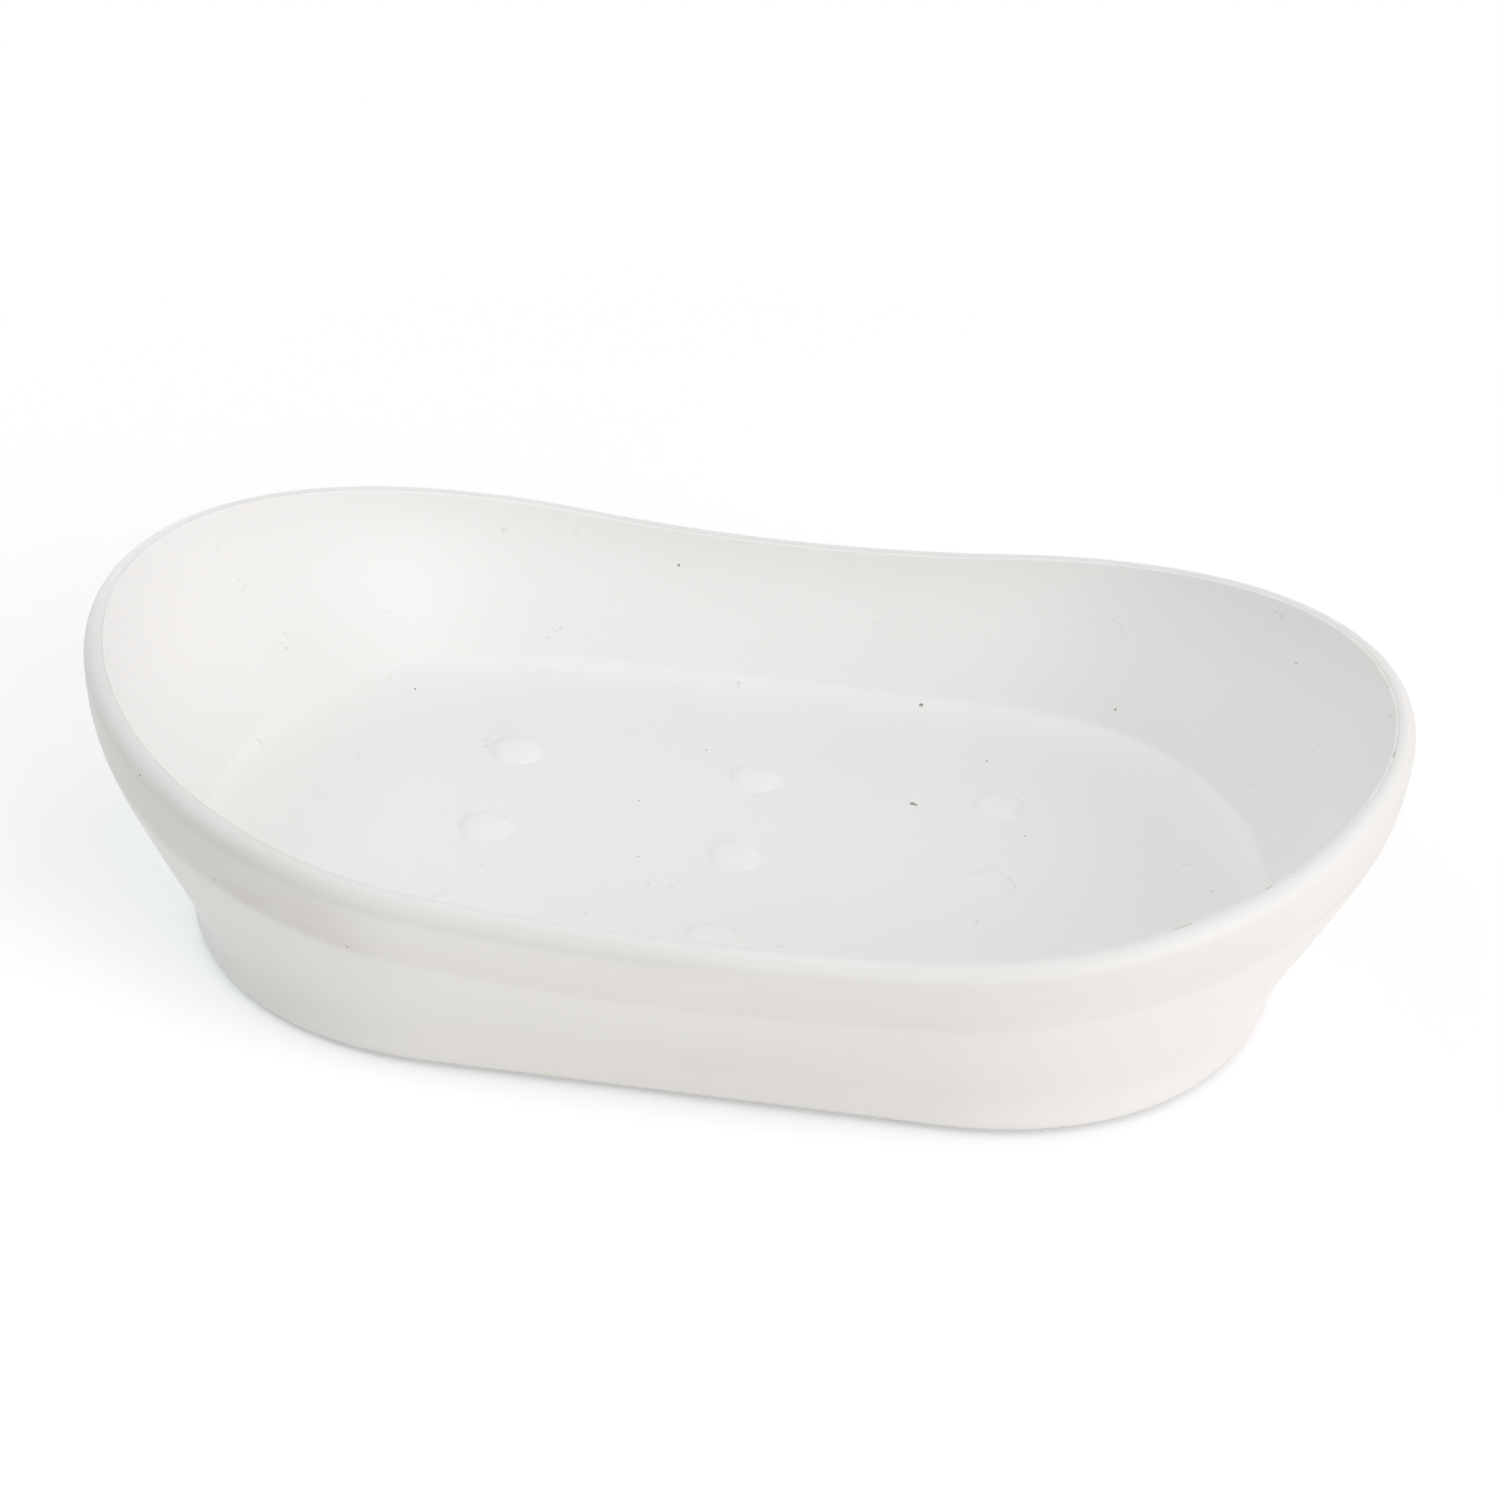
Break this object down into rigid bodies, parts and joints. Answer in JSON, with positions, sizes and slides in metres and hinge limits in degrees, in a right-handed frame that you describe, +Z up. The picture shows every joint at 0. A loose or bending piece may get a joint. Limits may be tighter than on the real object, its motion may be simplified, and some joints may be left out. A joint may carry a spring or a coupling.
{
  "type": "soap dish",
  "caption": "Bathtub-shaped soap dish with raised ends, a flared wall, a rounded rim and low domes on its flat floor.",
  "frame": {"origin": "on the table, under the middle of the dish", "axes": "+X along the dish towards its right end, +Y towards the back, +Z up"},
  "size_m": [0.14, 0.088, 0.033],
  "materials": {
    "shell": "satin white",
    "liner": "satin white",
    "pads": "matt, translucent white"
  },
  "bodies": {
    "root": {"outer_shell": "shell", "inner_liner": "liner", "foot_pad_front_left": "pads", "foot_pad_front_right": "pads", "foot_pad_rear_left": "pads", "foot_pad_rear_right": "pads"}
  },
  "joints": []
}
